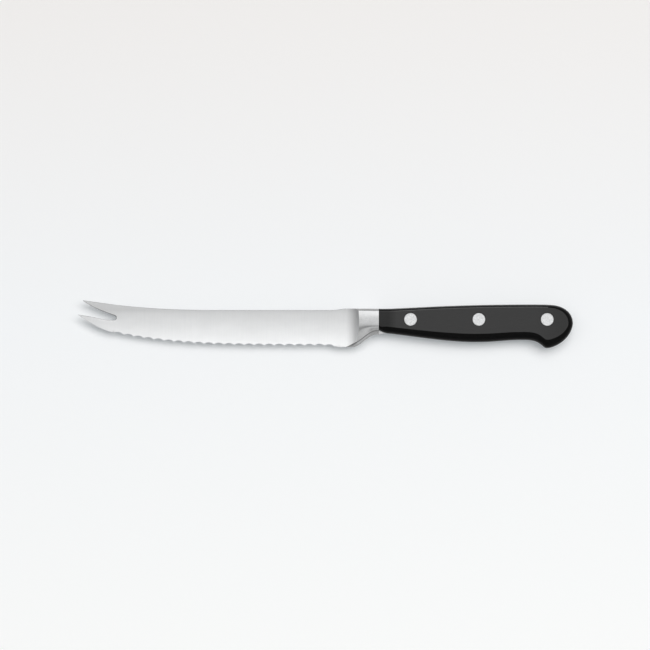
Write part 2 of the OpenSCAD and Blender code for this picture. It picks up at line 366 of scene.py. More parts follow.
def top_h(x):
    step = mix(SPINE_H, BOLSTER_TOP_H, ease((x - STEP_END) / STEP_RUN + 1))
    return step + (FRONT_H - BOLSTER_TOP_H) * ease(1 + x / BOLSTER_L)


def tooth_line(x):
    u = limit((LAST_TOOTH - x) / (LAST_TOOTH - FIRST_TOOTH))
    return mix(-EDGE_DEPTH, -TINE_DEPTH, u**TOOTH_CURVE)


def edge_h(x):
    return tooth_line(x) - (HEEL_DEPTH - EDGE_DEPTH) * ease((x - HEEL_DROP_END) / HEEL_RUN + 1)


def bottom_h(x):
    if x < -UNDERSIDE_L:
        return edge_h(x)
    return mix(-UNDERSIDE_H, -HEEL_DEPTH, ease(limit(-x / UNDERSIDE_L) ** UNDERSIDE_CURVE))


def blade_z(x, y):
    """Half of the blade's thickness: its sides are slightly hollow."""
    v = (SPINE_H - y) / FACE_H
    fall = FACE_DROP * (HOLLOW * v + (1 - HOLLOW) * max(v, 0) ** 2)
    return SPINE_T / 2 - fall - FACE_SLOPE * max(COVE_START - x, 0)


def cove_z(x, y):
    """Half thickness in the cove, whose hollow starts on the side of the blade."""
    run = min(max(x - COVE_START, 0), COVE_R)
    return blade_z(x, y) + COVE_R - sqrt(COVE_R**2 - run**2)


# How far along its axis a grinding wheel is searched for the blade's sides
WHEEL_REACH = 12


class Scallop:
    """One round grinding wheel laid into the right side of the blade between two teeth."""

    def __init__(self, i):
        a = Vector((FIRST_TOOTH + i * PITCH, 0))
        b = Vector((a.x + PITCH, 0))
        a.y = edge_h(a.x)
        b.y = edge_h(b.x)
        lean = atan2(b.y - a.y, PITCH)
        self.number = i
        self.along = Vector((cos(lean), sin(lean)))
        self.up = Vector((-sin(lean), cos(lean)))
        self.bottom = (a + b) / 2 + SCALLOP_DEPTH * self.up
        self.half_w = (b - a).length / 2
        sag = SCALLOP_DEPTH * sin(GRIND_ANGLE)
        self.wheel_r = (self.half_w**2 + sag**2) / (2 * sag)
        self.z = blade_z(*self.bottom)

    def drop(self, s):
        return self.wheel_r - sqrt(max(self.wheel_r**2 - s**2, 0))

    def point(self, s, t):
        """The wheel's surface at s along the edge and t along the wheel's axis."""
        d = self.drop(s)
        flat = self.bottom + s * self.along
        flat -= (d * sin(GRIND_ANGLE) + t * cos(GRIND_ANGLE)) * self.up
        return Vector((flat.x, flat.y, self.z - d * cos(GRIND_ANGLE) + t * sin(GRIND_ANGLE)))

    def on_side(self, s, side):
        """Where the wheel's surface meets the left side, 1, or the right side, -1."""

        def above(t):
            p = self.point(s, t)
            return p.z - side * blade_z(p.x, p.y)

        return self.point(s, root(above, -WHEEL_REACH, WHEEL_REACH))

    def under(self, x, y):
        """The s and the height of the wheel's surface at a point of the outline."""
        p = Vector((x, y)) - self.bottom
        s = p.dot(self.along)
        d = self.drop(s)
        t = -(p.dot(self.up) + d * sin(GRIND_ANGLE)) / cos(GRIND_ANGLE)
        return s, self.z - d * cos(GRIND_ANGLE) + t * sin(GRIND_ANGLE)


WALL_STEPS = 6
# Points of half a ring, up to the middle of the blank's edge, and of a whole one
HALF_RING = WALL_STEPS + 2
RING = 2 * HALF_RING - 1
SCALLOP_STEPS = 12
HEEL_STEPS = 16
NOTCH_END_STEPS = 16
SPINE_STEPS = 40
NORMAL_REACH = 2.5


def rounded_wall(p, inward, rounding=EDGE_ROUNDING):
    """Ring from the left side round the edge of the blank to the right side."""
    flat_z = blade_z(*(p + inward * rounding))
    depth = min(rounding, ROUNDING_SHARE * flat_z)
    half = []
    for a in steps(0, pi / 2, WALL_STEPS):
        at = p + inward * rounding * (1 - sin(a))
        half.append((at.x, at.y, flat_z - depth * (1 - cos(a))))
    return half + [(p.x, p.y, 0)] + [(x, y, -z) for x, y, z in reversed(half)]


def ground_ring(left, upper, right):
    """Ring from the left side down to the ground facet and across it to the right side."""
    facet = [upper.lerp(right, i / (RING - 2)) for i in range(RING - 1)]
    return [tuple(left)] + [tuple(p) for p in facet]


def inward_normals(points):
    """Directions into the blank along an outline with the blank on its right. They are
    longer at sharp corners, but no longer than NORMAL_REACH."""
    normals = []
    for i, p in enumerate(points):
        before = p - points[max(i - 1, 0)]
        after = points[min(i + 1, len(points) - 1)] - p
        sides = [Vector((d.y, -d.x)).normalized() for d in (before, after) if d.length]
        n = sum(sides, Vector((0, 0))).normalized()
        normals.append(n / max(n.dot(sides[0]), 1 / NORMAL_REACH))
    return normals


def smooth_rings(points, normals, scallop):
    """Stations under the heel or the tine, where the wheel of the nearest scallop touches
    some."""
    stations = []
    for p, n in zip(points, normals):
        half = blade_z(*p)
        s, z = scallop.under(*p)
        if z <= -half:
            stations.append(("blade", rounded_wall(p, n)))
            continue
        left = Vector((p.x, p.y, half))
        upper = Vector((p.x, p.y, min(z, half)))
        right = scallop.on_side(s, -1)
        stations.append((f"scallop {scallop.number}", ground_ring(left, upper, right)))
    return stations


def scallop_rings(scallops):
    """Stations along the teeth, from the heel to the fork."""
    stations = []
    for scallop in reversed(scallops):
        kind = f"scallop {scallop.number}"
        for s in steps(scallop.half_w, -scallop.half_w, SCALLOP_STEPS):
            left = scallop.on_side(s, 1)
            stations.append((kind, ground_ring(left, left, scallop.on_side(s, -1))))
    return stations


def join_teeth(stations):
    """Where two scallops meet, both get the same ring, halfway between their own."""
    joined = []
    for kind, ring in stations:
        if joined and joined[-1][0] != kind and "blade" not in (joined[-1][0], kind):
            before = joined.pop()[1]
            ring = [tuple(Vector(a).lerp(Vector(b), 0.5)) for a, b in zip(before, ring)]
        joined.append((kind, ring))
    return joined


def outline_stations():
    """Rings round the blade's outline, from the heel past the teeth and the fork to the
    spine, each with the kind of the faces that follow it."""
    scallops = [Scallop(i) for i in range(SCALLOPS)]
    heel = [Vector((x, bottom_h(x))) for x in steps(COVE_START, LAST_TOOTH, HEEL_STEPS)]
    heel_normals = inward_normals(heel)
    heel_normals[0] = Vector((0, 1))

    first_tooth = Vector((FIRST_TOOTH, -TINE_DEPTH))
    tine = curve(first_tooth, 164, 0.27, LOWER_TIP, 144, 0.5, count=36)
    notch_floor = NOTCH_CENTRE - Vector((0, NOTCH_R))
    under_notch = curve(LOWER_TIP, -8, 0.7, notch_floor, 2, 0.33, count=30)
    notch_angles = steps(-90, 90 - NOTCH_SLOPE, NOTCH_END_STEPS)
    notch_end = [NOTCH_CENTRE + NOTCH_R * toward(angle) for angle in notch_angles]
    over_notch = curve(notch_end[-1], 180 - NOTCH_SLOPE, 0.06, UPPER_TIP, 140, 0.34, count=26)
    straight = Vector((STRAIGHT_SPINE_X, SPINE_H))
    spine = curve(UPPER_TIP, -7, 0.18, straight, 0, 0.59, count=48)
    spine += [Vector((x, top_h(x))) for x in steps(STRAIGHT_SPINE_X, COVE_START, SPINE_STEPS)]
    round_fork = tine + under_notch + notch_end[:-1] + over_notch + spine
    fork_normals = inward_normals(round_fork)
    fork_normals[-1] = Vector((0, -1))
    # The notch is rounded more along its upper side
    roundings = (
        [EDGE_ROUNDING] * (len(tine) + len(under_notch))
        + steps(EDGE_ROUNDING, NOTCH_ROUNDING, len(notch_end) - 2)
        + steps(NOTCH_ROUNDING, EDGE_ROUNDING, len(over_notch) - 1)
        + [EDGE_ROUNDING] * len(spine)
    )

    tine_count = len(tine)
    teeth = (
        smooth_rings(heel, heel_normals, scallops[-1])[:-1]
        + scallop_rings(scallops)
        + smooth_rings(tine, fork_normals[:tine_count], scallops[0])[1:]
    )
    rest = list(zip(round_fork, fork_normals, roundings))[tine_count:]
    return join_teeth(teeth) + [("cut", rounded_wall(*station)) for station in rest]


# A row across half of the bolster has as many points as one across half of the blade
FACE_ROWS = 40
FACET_ROWS = 16
UPPER_ROWS = 12
SIDE_ROWS = WALL_STEPS + 1 + FACE_ROWS - UPPER_ROWS - FACET_ROWS
# In a row across half of the bolster, the point where the rim ends
RIM_END = WALL_STEPS + 1
# Steps from row to row in the cove, and as many in the bolster
ROW_STEPS = 14
# A row this share of the way from the crease, on either side of it, keeps it crisp
CREASE_SUPPORT = 0.015
# Gaps along and across of the grid of points in the blade's sides, and its clear margin
SIDE_GRID = (1.9, 1.3, 0.6)


def blade_section():
    """Half section of the blade where the cove starts, from its lower to its upper edge."""
    low = rounded_wall(Vector((COVE_START, bottom_h(COVE_START))), Vector((0, 1)))
    high = rounded_wall(Vector((COVE_START, top_h(COVE_START))), Vector((0, -1)))
    low_half = list(reversed(low[:HALF_RING]))
    high_half = high[:HALF_RING]
    a = low_half[-1][1]
    b = high_half[0][1]
    between = steps(a, b, FACE_ROWS + 1)[1:-1]
    return low_half + [(COVE_START, y, blade_z(COVE_START, y)) for y in between] + high_half


def rim_low(x):
    """Height where the rim under the bolster ends and the cove or the facet starts."""
    return bottom_h(x) + RIM_W * ease((x - COVE_START + RIM_LEAD) / RIM_RUN)


def facet_z(x):
    """Half thickness where the slanted facet starts."""
    return mix(RIM_T, CREASE_RIM_T, -x / BOLSTER_L) / 2


def side_z(x, y):
    """Half thickness of the bolster's crowned side."""
    low = bottom_h(x)
    high = top_h(x)
    off_middle = (2 * y - low - high) / (high - low)
    return mix(BOLSTER_T, CREASE_T, -x / BOLSTER_L) / 2 - CROWN * off_middle**2


def bolster_section(x):
    """Heights and half thicknesses of the bolster at x, from its underside round its rim,
    its facet and its side to its top."""
    low = bottom_h(x)
    high = top_h(x) - BACK_BEVEL
    start = rim_low(x)
    start_z = min(cove_z(x, start), facet_z(x))
    wall_z = min(mix(TANG_Z, HEEL_WALL_Z, -x / BOLSTER_L), start_z / 2)
    slope = (side_z(x, -SLANT_H) - start_z) / (-SLANT_H - start)
    section = []
    for a in steps(0, RIM_ARC, WALL_STEPS):
        y = mix(low, start, (1 - cos(a)) / (1 - cos(RIM_ARC)))
        section.append((y, mix(wall_z, start_z, sin(a) / sin(RIM_ARC))))
    for y in steps(start, -SLANT_H, FACET_ROWS)[1:] + steps(-SLANT_H, high, SIDE_ROWS)[1:]:
        facet = start_z + (y - start) * slope
        section.append((y, soft_min(facet, side_z(x, y), SLANT_SOFTNESS)))
    for a in steps(pi / 2, 0, UPPER_ROWS)[1:]:
        section.append((high + BACK_BEVEL * cos(a), mix(TANG_Z, side_z(x, high), sin(a))))
    return section


def crease_x(i):
    """Where the cove meets the facet or the side of the bolster, in row place i."""

    def rim_above(x):
        return facet_z(x) - cove_z(x, rim_low(x))

    def bolster_above(x):
        y, z = bolster_section(x)[i - 1]
        return z - cove_z(x, y)

    above = rim_above if i <= RIM_END else bolster_above
    return root(above, COVE_START, COVE_START + COVE_R)


def half_rows():
    """Rows across the left half of cove and bolster, from the blade to the handle."""
    start = blade_section()
    last = len(start) - 1
    creases = [crease_x(i) for i in range(1, last)]
    creases = [creases[0], *creases, creases[-1]]

    def bolster_point(x, i):
        if i == 0:
            return (x, bottom_h(x), 0)
        if i == last:
            return (x, top_h(x), 0)
        return (x, *bolster_section(x)[i - 1])

    def cove_point(i, t):
        end_x = creases[i]
        x = mix(COVE_START, end_x, t)
        if i <= RIM_END or i == last:
            return bolster_point(x, i)
        start_y, start_z = start[i][1:]
        low_0, high_0 = start[RIM_END][1], top_h(COVE_START)
        low_1, high_1 = rim_low(end_x), top_h(end_x)
        share_0 = (start_y - low_0) / (high_0 - low_0)
        share_1 = (bolster_point(end_x, i)[1] - low_1) / (high_1 - low_1)
        y = mix(rim_low(x), top_h(x), mix(share_0, share_1, t))
        rounding = blade_z(COVE_START, start_y) - start_z
        return (x, y, cove_z(x, y) - rounding * (1 - t))

    places = range(last + 1)
    cove_steps = [*steps(0, 1, ROW_STEPS)[1:-1], 1 - CREASE_SUPPORT, 1]
    bolster_steps = [CREASE_SUPPORT, *steps(0, 1, ROW_STEPS)[1:]]
    cove = [start] + [[cove_point(i, t) for i in places] for t in cove_steps]
    bolster = [cove[-1]] + [
        [bolster_point(mix(creases[i], 0, t), i) for i in places] for t in bolster_steps
    ]
    return cove, bolster


def mirrored(points):
    return [(x, y, -z) for x, y, z in points]


def grid_over(outline, gap_x, gap_y, margin):
    """Points of a grid over the box of an outline, clear of it. filled() makes no faces with
    those outside it, and build() takes them away."""
    xs = [p[0] for p in outline]
    ys = [p[1] for p in outline]
    points = []
    for i in range(int((max(xs) - min(xs)) / gap_x)):
        for j in range(int((max(ys) - min(ys)) / gap_y)):
            x = min(xs) + (i + 0.5) * gap_x
            y = min(ys) + (j + 0.5) * gap_y
            if all(hypot(x - p[0], y - p[1]) > margin for p in outline):
                points.append((x, y))
    return points


def circle(centre_x, r):
    angles = [2 * pi * i / CIRCLE_POINTS for i in range(CIRCLE_POINTS)]
    return [(centre_x + r * cos(a), r * sin(a)) for a in angles]


def at_height(points, z):
    return [(p[0], p[1], z) for p in points]


def closed(points):
    return [*points, points[0]]


STEEL_OF = {
    "blade": "satin",
    "scallop": "ground",
    # The cut outline and the arris take coarse steel that is painted darker as shade
    "cut": "cut",
    "bolster": "polished",
    # The underside takes a slightly darker copy of the polished steel, painted shade
    "underside": "underside",
    "arris": "cut",
    "rear": "brushed",
    "tang": "brushed",
    "bore": "brushed",
}


def forged_blade(materials):
    shell = Shell()
    stations = outline_stations()
    for (kind, ring), (_, after) in zip(stations, stations[1:]):
        shell.add_rows([ring[:2], after[:2]], "blade")
        shell.add_rows([ring[1:], after[1:]], kind)

    cove, bolster = half_rows()
    # The sides of the blade end at the first row of the cove
    joint = cove[0][HALF_RING:-HALF_RING]
    for side, end in ((1, 0), (-1, -1)):
        outline = [ring[end][:2] for _, ring in stations] + [p[:2] for p in reversed(joint)]
        points, triangles = filled(outline, inner=grid_over(outline, *SIDE_GRID))
        shell.add([(p.x, p.y, side * blade_z(*p)) for p in points], triangles, "blade")

    # The rim ends in a narrow arris under the cove and the facet, painted dark as a line of shade
    rim = cove + bolster[1:]
    for turn in (list, mirrored):
        shell.add_rows([turn(row[:RIM_END]) for row in rim], "underside")
        shell.add_rows([turn(row[RIM_END - 1 : RIM_END + 1]) for row in rim], "arris")
        shell.add_rows([turn(row[RIM_END:]) for row in cove], "blade")
        shell.add_rows([turn(row[RIM_END:]) for row in bolster], "bolster")
    # Under the front corner of the scales the tang goes straight on from the bolster
    outline = handle_ring(0, Vector((0, -UNDERSIDE_H)), TANG_UNDER_ANGLE)
    bores = [circle(x, TUBE_D / 2 + HEAD_GAP) for x in RIVET_X]
    for side in (1, -1):
        rear = [(x, y, side * z) for x, y, z in bolster[-1][1:-1]]
        shell.add(rear, [list(range(len(rear)))], "rear")
        points, triangles = filled(outline, bores)
        shell.add(at_height(points, side * TANG_Z), triangles, "tang side")
    shell.add_rows([at_height(outline, z) for z in (TANG_Z, 0, -TANG_Z)], "tang edge")
    for bore in bores:
        shell.add_rows([at_height(closed(bore), z) for z in (TANG_Z, -TANG_Z)], "bore")
    piece = shell.build("steel_blank", materials, STEEL_OF)
    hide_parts("forged_blade")


# Handle scales


# The handle's outline has this many times as many points as in the source. The first of
# them run along the back, as far as its bend down to the butt
HANDLE_FINENESS = 3
BACK_POINTS = 24 * HANDLE_FINENESS
ROUNDING_STEPS = 14
# From this ring of the rounding upwards its back is painted brighter, a narrow painted highlight
HIGHLIGHT_RING = 12
FRONT_STEPS = 16
# Gaps along and across of the grid of points where the flat falls, its clear margin and end
FALL_GRID = (0.8, 0.8, 0.4)
FALL_GRID_END = FRONT_FALL_L + 3
PLASTIC_OF = {
    # The roundings take a darker plastic, painted shade
    "rounding": "polished",
    # The strip along the back's edge takes a lighter plastic, a painted highlight
    "edge": "painted_highlight",
    "front": "ground",
    "flat": "ground",
    "inside": "ground",
    "hole": "ground",
}


def handle_ring(inset, under=None, under_angle=SCALE_UNDER_ANGLE):
    """Outline of the handle for inset 0, the edge of its flat for inset 1. It runs from the
    upper end of the front round the butt to the lower end, under, which is the scale's
    front corner unless given."""
    if under is None:
        under = Vector((0, -SCALE_FRONT_H + inset * CORNER_BEVEL))
    front = Vector((0, FRONT_H - inset * SCALE_BACK_BEVEL))
    crest = Vector((CREST_X, CREST_H - inset * SCALE_BACK_BEVEL))
    back = Vector((BACK_X - inset, CREST_H - BACK_DROP - inset * SCALE_BACK_BEVEL))
    butt = Vector((HANDLE_L - inset * BUTT_BEVEL, BUTT_H))
    corner = Vector((CORNER_X, -CORNER_DEPTH + inset * BELLY_START_BEVEL))
    belly = Vector((BELLY_L, -BELLY_DEPTH + inset * BELLY_BEVEL))
    neck = Vector((NECK_X, -NECK_DEPTH + inset * NECK_BEVEL))
    hook = Vector((HOOK_X, -HOOK_DEPTH + inset * NOSE_BEVEL))
    nose = Vector((BACK_X, -NOSE_DEPTH + inset * NOSE_BEVEL))
    n = HANDLE_FINENESS
    upper = (
        curve(front, -2, 0.14, crest, 0, 0.6, 20 * n)
        + curve(crest, 0, 0.33, back, -3, 0.33, 4 * n)
        + curve(back, -3, 0.4, butt, -90, 0.41, 16 * n)
    )
    lower = (
        curve(under, under_angle, 0.35, corner, -6, 0.35, 4 * n)
        + curve(corner, -6, 0.28, belly, 0, 0.33, 12 * n)
        + curve(belly, 0, 0.43, neck, 0, 0.43, 6 * n)
        + curve(neck, 0, 0.58, hook, -40, 0.31, 6 * n)
        + curve(hook, -40, 0.33, nose, 17, 0.41, 4 * n)
        + curve(nose, 17, 0.53, butt, 90, 0.18, 8 * n)
    )
    return upper + [butt] + lower[::-1]


def flat_top(x, y):
    """Height of a scale's flat, whose front falls to the bolster and is crowned like it."""
    crown = (BOLSTER_T / 2 - side_z(0, y)) * (1 - limit(x / FRONT_FALL_L))
    return soft_min(FLAT_Z, BOLSTER_T / 2 + x * FALL_SLOPE - crown, FALL_SOFTNESS)


def scale(name, node, side, materials):
    shell = Shell()
    rings = []
    for a in steps(0, pi / 2, ROUNDING_STEPS):
        ring = handle_ring(1 - cos(a))
        heights = [mix(TANG_Z, flat_top(*p), sin(a)) for p in ring]
        rings.append([(*p, side * z) for p, z in zip(ring, heights)])
    # The rounding takes the darker plastic, painted shade
    shell.add_rows([ring[:BACK_POINTS] for ring in rings[: HIGHLIGHT_RING + 1]], "rounding")
    # A narrow strip of the back's rounding next to the flat is painted lighter, a painted
    # highlight
    shell.add_rows([ring[:BACK_POINTS] for ring in rings[HIGHLIGHT_RING:]], "edge")
    shell.add_rows([ring[BACK_POINTS - 1 :] for ring in rings], "rounding")

    flat_ring = rings[-1]
    across = steps(flat_ring[-1][1], flat_ring[0][1], FRONT_STEPS)[1:-1]
    flat_front = [(0, y, side * flat_top(0, y)) for y in across]
    front = [ring[-1] for ring in rings] + flat_front + [ring[0] for ring in reversed(rings)]
    shell.add(front, [list(range(len(front)))], "front")

    hole_r = HEAD_D / 2 + HEAD_GAP
    bore_r = TUBE_D / 2 + HEAD_GAP
    holes = [circle(x, hole_r + HOLE_BEVEL) for x in RIVET_X]
    outline = [p[:2] for p in flat_ring + flat_front]
    near_front = [p for p in grid_over(outline, *FALL_GRID) if p[0] < FALL_GRID_END]
    points, triangles = filled(outline, holes, near_front)
    shell.add([(p.x, p.y, side * flat_top(*p)) for p in points], triangles, "flat")
    points, triangles = filled(rings[0], [circle(x, bore_r) for x in RIVET_X])
    shell.add(at_height(points, side * TANG_Z), triangles, "inside")
    for x in RIVET_X:
        profile = [
            (hole_r + HOLE_BEVEL, FLAT_Z),
            (hole_r, FLAT_Z - HOLE_BEVEL),
            (hole_r, HEAD_Z),
            (bore_r, HEAD_Z),
            (bore_r, TANG_Z),
        ]
        loops = [at_height(closed(circle(x, r)), side * z) for r, z in profile]
        for i, pair in enumerate(zip(loops, loops[1:])):
            shell.add_rows(pair, f"hole {i}")
    piece = shell.build(name, materials, PLASTIC_OF)
    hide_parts(node)


def turned_piece(name, node, x, profile, material):
    """A rivet half: a profile of radii and heights, turned round the rivet's axis."""
    shell = Shell()
    loops = [at_height(closed(circle(x, r)), z) for r, z in profile]
    for i, pair in enumerate(zip(loops, loops[1:])):
        shell.add_rows(pair, f"turned {i}")
    piece = shell.build(name, {"rivet": material}, {"turned": "rivet"})
    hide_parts(node)


def rivet(place, x, material):
    head_r, tube_r, pin_r = HEAD_D / 2, TUBE_D / 2, PIN_D / 2
    head = [
        (head_r, HEAD_Z),
        (head_r, FLAT_Z - HEAD_BEVEL),
        (head_r - HEAD_BEVEL, FLAT_Z),
        (0, FLAT_Z),
    ]
    sleeve = [(0, HEAD_Z), (pin_r, HEAD_Z), (pin_r, -HEAD_Z), (tube_r, -HEAD_Z), (tube_r, HEAD_Z)]
    pin = [(0, HEAD_Z), (pin_r, HEAD_Z), (pin_r, -HEAD_Z)]
    turned_piece(f"{place}_sleeve", f"{place}_rivet_sleeve", x, sleeve + head, material)
    other_head = [(r, -z) for r, z in head]
    turned_piece(f"{place}_pin", f"{place}_rivet_pin", x, pin + other_head, material)


# Materials


def map_range(tree, value, low, high, start, end):
    """value from start to end turned into low to high."""
    node = tree.nodes.new("ShaderNodeMapRange")
    node.inputs["From Min"].default_value = start
    node.inputs["From Max"].default_value = end
    node.inputs["To Min"].default_value = low
    node.inputs["To Max"].default_value = high
    tree.links.new(value, node.inputs["Value"])
    return node.outputs["Result"]


def colour_ramp(tree, value, stops):
    """Colours along a value from 0 to 1. Each stop is a position and a colour."""
    node = tree.nodes.new("ShaderNodeValToRGB")
    elements = node.color_ramp.elements
    elements.remove(elements[1])
    elements[0].position = stops[0][0]
    elements[0].color = (*stops[0][1], 1)
    for position, colour in stops[1:]:
        elements.new(position).color = (*colour, 1)
    tree.links.new(value, node.inputs["Fac"])
    return node.outputs["Color"]


def product(tree, a, b):
    node = tree.nodes.new("ShaderNodeVectorMath")
    node.operation = "MULTIPLY"
    tree.links.new(a, node.inputs[0])
    tree.links.new(b, node.inputs[1])
    return node.outputs["Vector"]


class Finish:
    """A procedural material. Its patterns are laid out in millimetres on the object."""

    def __init__(self, name, colour, metallic, roughness):
        self.material = bpy.data.materials.new(name)
        self.material.use_nodes = True
        self.tree = self.material.node_tree
        self.nodes = self.tree.nodes
        self.shader = self.nodes["Principled BSDF"]
        self.shader.inputs["Base Color"].default_value = (*colour, 1)
        self.shader.inputs["Metallic"].default_value = metallic
        self.shader.inputs["Roughness"].default_value = roughness
        self.place = self.nodes.new("ShaderNodeTexCoord").outputs["Object"]

    def link(self, a, b):
        self.tree.links.new(a, b)

    def noise(self, period, detail=2.0, distortion=0.0):
        """Noise whose grains are about period (x, y, z) millimetres in size, 0 to 1."""
        mapping = self.nodes.new("ShaderNodeMapping")
        mapping.inputs["Scale"].default_value = [1 / (size * MM) for size in period]
        self.link(self.place, mapping.inputs["Vector"])
        noise = self.nodes.new("ShaderNodeTexNoise")
        noise.inputs["Scale"].default_value = 1
        noise.inputs["Detail"].default_value = detail
        noise.inputs["Distortion"].default_value = distortion
        self.link(mapping.outputs["Vector"], noise.inputs["Vector"])
        return noise.outputs["Fac"]

    def spread(self, value, low, high, start=0.3, end=0.7):
        """value turned into low to high. Most of a noise lies from 0.3 to 0.7."""
        return map_range(self.tree, value, low, high, start, end)

    def mean(self, a, b):
        """The mean of two values from 0 to 1."""
        node = self.nodes.new("ShaderNodeMath")
        node.operation = "ADD"
        self.link(a, node.inputs[0])
        self.link(b, node.inputs[1])
        return self.spread(node.outputs["Value"], 0, 1, 0, 2)

    def along(self, axis, start, end):
        """0 to 1 along an axis of the source's frame, from start to end millimetres."""
        split = self.nodes.new("ShaderNodeSeparateXYZ")
        self.link(self.place, split.inputs["Vector"])
        base = ORIGIN["XYZ".index(axis)]
        return self.spread(split.outputs[axis], 0, 1, base + start * MM, base + end * MM)

    def colours(self, value, *stops):
        """A ramp along value as the colour, or times the colour of an earlier ramp."""
        socket = self.shader.inputs["Base Color"]
        colour = colour_ramp(self.tree, value, stops)
        if socket.links:
            colour = product(self.tree, socket.links[0].from_socket, colour)
        self.link(colour, socket)

    def roughness(self, value):
        self.link(value, self.shader.inputs["Roughness"])

    def bump(self, value, depth):
        """Relief of depth millimetres."""
        node = self.nodes.new("ShaderNodeBump")
        node.inputs["Distance"].default_value = depth * MM
        self.link(value, node.inputs["Height"])
        self.link(node.outputs["Normal"], self.shader.inputs["Normal"])


def grey(level, tint=(1, 1, 1)):
    return tuple(level * t for t in tint)


STEEL_TINT = (0.985, 0.995, 1.0)


def satin_steel():
    """The ground sides of the blade: fine lines from spine to edge, and a painted reflection that
    makes them brighter towards the edge.
    """
    finish = Finish("satin_steel", grey(0.8, STEEL_TINT), 1, 0.3)
    lines = finish.noise((0.22, 12, 12), detail=3)
    clouds = finish.noise((9, 5, 5))
    # Painted reflection: the steel is painted lighter from the spine down to the edge
    down = finish.along("Y", SPINE_H, -EDGE_DEPTH)
    finish.colours(
        down,
        (0, grey(0.6, STEEL_TINT)),
        (0.1, grey(0.675, STEEL_TINT)),
        (1, grey(0.945, STEEL_TINT)),
    )
    finish.colours(finish.mean(lines, clouds), (0.35, grey(0.94)), (0.65, grey(1)))
    finish.roughness(finish.spread(lines, 0.28, 0.34))
    finish.bump(lines, 0.001)
    return finish.material


def ground_steel():
    """The hollow-ground facets of the teeth: lines along the wheel's axis, brighter."""
    finish = Finish("ground_steel", grey(0.7, STEEL_TINT), 1, 0.22)
    lines = finish.noise((0.12, 3, 3), detail=3)
    finish.colours(lines, (0.3, grey(0.74, STEEL_TINT)), (0.7, grey(0.86, STEEL_TINT)))
    finish.roughness(finish.spread(lines, 0.18, 0.28))
    finish.bump(lines, 0.003)
    return finish.material


def polished_steel(name, level):
    """The bolster and its underside: nearly bright, with faint lines round it from the last
    belt. level is how much light it gives back."""
    finish = Finish(name, grey(level, STEEL_TINT), 1, 0.18)
    lines = finish.noise((0.3, 6, 6), detail=3)
    clouds = finish.noise((3, 3, 3))
    finish.colours(
        clouds, (0.3, grey(level - 0.025, STEEL_TINT)), (0.7, grey(level + 0.025, STEEL_TINT))
    )
    finish.roughness(finish.spread(finish.mean(lines, clouds), 0.14, 0.24))
    finish.bump(lines, 0.002)
    return finish.material


def brushed_steel():
    """The rim of the tang, brushed along the handle together with the scales."""
    finish = Finish("brushed_steel", grey(0.55, STEEL_TINT), 1, 0.35)
    lines = finish.noise((8, 0.15, 0.1), detail=3)
    finish.colours(lines, (0.3, grey(0.5, STEEL_TINT)), (0.7, grey(0.6, STEEL_TINT)))
    finish.roughness(finish.spread(lines, 0.3, 0.42))
    finish.bump(lines, 0.004)
    return finish.material


def cut_and_shaded_steel():
    """The cut outline of the blade at its spine and in its fork, and the arris above the
    bolster's rim: coarse, and painted darker as shade."""
    finish = Finish("cut_and_shaded_steel", grey(0.26, STEEL_TINT), 1, 0.4)
    lines = finish.noise((1.5, 1.5, 0.1), detail=3)
    finish.colours(lines, (0.3, grey(0.22, STEEL_TINT)), (0.7, grey(0.3, STEEL_TINT)))
    finish.roughness(finish.spread(lines, 0.35, 0.45))
    finish.bump(lines, 0.004)
    return finish.material


def rivet_steel():
    """The rivet heads, ground flush with the scales: short scratches and fine speckle."""
    finish = Finish("rivet_steel", grey(0.7, STEEL_TINT), 1, 0.35)
    scratches = finish.noise((1.2, 0.3, 1), detail=4, distortion=0.4)
    speckle = finish.noise((0.6, 0.6, 0.6), detail=2)
    mixed = finish.mean(scratches, speckle)
    finish.colours(mixed, (0.37, grey(0.54, STEEL_TINT)), (0.63, grey(0.8, STEEL_TINT)))
    finish.roughness(finish.spread(mixed, 0.3, 0.45, 0.35, 0.65))
    finish.bump(mixed, 0.006)
    return finish.material


def ground_plastic(name, level):
    """The flats of the scales: black, ground along the handle to a dull grey, with painted shade
    that darkens them at the front, whose edge is a black line, and at the butt."""
    finish = Finish(name, grey(level), 0, 0.4)
    finish.shader.inputs["Specular IOR Level"].default_value = 0.25
    buffing = finish.noise((5, 0.25, 0.25), detail=3)
    grain = finish.noise((0.2, 0.2, 0.2), detail=2)
    mixed = finish.mean(buffing, grain)
    # Painted shade: the flats are painted darker towards the front and towards the butt
    back = finish.along("X", 0, HANDLE_L)
    finish.colours(
        back,
        (0.0035, grey(0)),
        (0.0055, grey(0.4 * level)),
        (0.05, grey(0.4 * level)),
        (0.09, grey(level)),
        (0.8, grey(level)),
        (0.93, grey(0.73 * level)),
    )
    finish.colours(mixed, (0.35, grey(0.85)), (0.65, grey(1.15)))
    finish.roughness(finish.spread(mixed, 0.35, 0.47, 0.35, 0.65))
    finish.bump(mixed, 0.006)
    return finish.material


def polished_and_shaded_plastic():
    """The rounding of the scales: smoother than their flats, and painted deep black as shade."""
    finish = Finish("polished_and_shaded_plastic", grey(0.005), 0, 0.25)
    finish.shader.inputs["Specular IOR Level"].default_value = 0.03
    clouds = finish.noise((2, 1, 1))
    finish.colours(clouds, (0.3, grey(0.004)), (0.7, grey(0.006)))
    finish.roughness(finish.spread(clouds, 0.22, 0.28))
    finish.bump(clouds, 0.004)
    return finish.material


